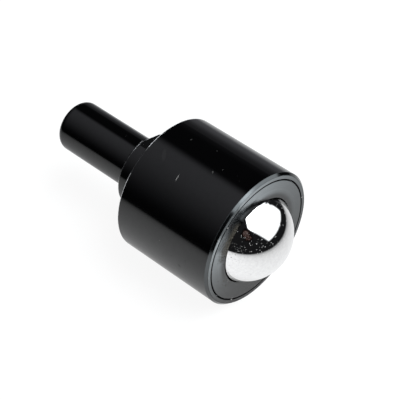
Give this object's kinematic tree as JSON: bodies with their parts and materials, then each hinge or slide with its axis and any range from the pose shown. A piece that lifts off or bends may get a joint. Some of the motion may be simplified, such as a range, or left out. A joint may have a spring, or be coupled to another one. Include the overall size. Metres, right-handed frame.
{
  "type": "ball transfer unit",
  "caption": "Round black steel ball transfer unit: a polished load ball turns in the front of a cylindrical body with a collar, spanner flats and a plain stem.",
  "frame": {"origin": "on the unit's axis, in the plane of the collar's rear face, where the stem leaves the collar and the unit seats on its mounting plate", "axes": "+Z along the unit's axis, from the stem towards the load ball; the spanner flats face +X and -X"},
  "size_m": [0.045, 0.045, 0.0883],
  "materials": {
    "housing": "glossy black finish on turned steel",
    "load_cup": "hardened and ground steel",
    "support_balls": "polished bearing steel",
    "load_ball": "mirror polished bearing steel",
    "felt_ring": "dense grey felt, oiled",
    "retaining_cap": "satin grey-black finish on steel",
    "snap_ring": "bright spring wire"
  },
  "bodies": {
    "housing": {"housing": "housing", "load_cup": "load_cup", "felt_ring": "felt_ring", "retaining_cap": "retaining_cap", "snap_ring": "snap_ring"},
    "support_balls": {"support_balls_row_1": "support_balls", "support_balls_row_2": "support_balls", "support_balls_row_3": "support_balls", "support_balls_row_4": "support_balls", "support_balls_row_5": "support_balls", "support_balls_row_6": "support_balls", "support_balls_row_7": "support_balls", "support_balls_row_8": "support_balls", "support_balls_row_9": "support_balls"},
    "load_ball": {"load_ball": "load_ball"}
  },
  "joints": [
    {"name": "support_ball_turn", "type": "hinge", "parent": "housing", "child": "support_balls", "pos_m": [0, 0, 0.0416], "axis": [0, 0, 1], "continuous": true},
    {"name": "load_ball_roll", "type": "hinge", "parent": "support_balls", "child": "load_ball", "pos_m": [0, 0, 0.0416], "axis": [1, 0, 0], "continuous": true}
  ]
}
